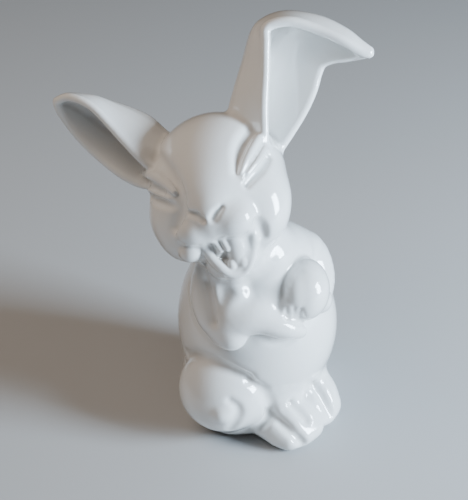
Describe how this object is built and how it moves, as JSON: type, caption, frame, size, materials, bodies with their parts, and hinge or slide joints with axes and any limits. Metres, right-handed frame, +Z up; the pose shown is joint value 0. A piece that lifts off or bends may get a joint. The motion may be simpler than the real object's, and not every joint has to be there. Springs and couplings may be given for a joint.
{
  "type": "hare figurine",
  "caption": "White glazed porcelain figurine of a laughing hare sitting up with its paws on its belly, cast in one piece and standing by its own weight on a flat underside.",
  "frame": {"origin": "On the flat underside, below the middle of the seated body, at the mount underside.", "axes": "+Z is up, along the figure's height. The hare's chest and toes face -Y. Its own left side is at +X."},
  "size_m": [0.0897, 0.0895, 0.15],
  "materials": {
    "white_glaze": "glossy clear glaze over white porcelain"
  },
  "bodies": {
    "root": {"hare": "white_glaze"}
  },
  "joints": []
}
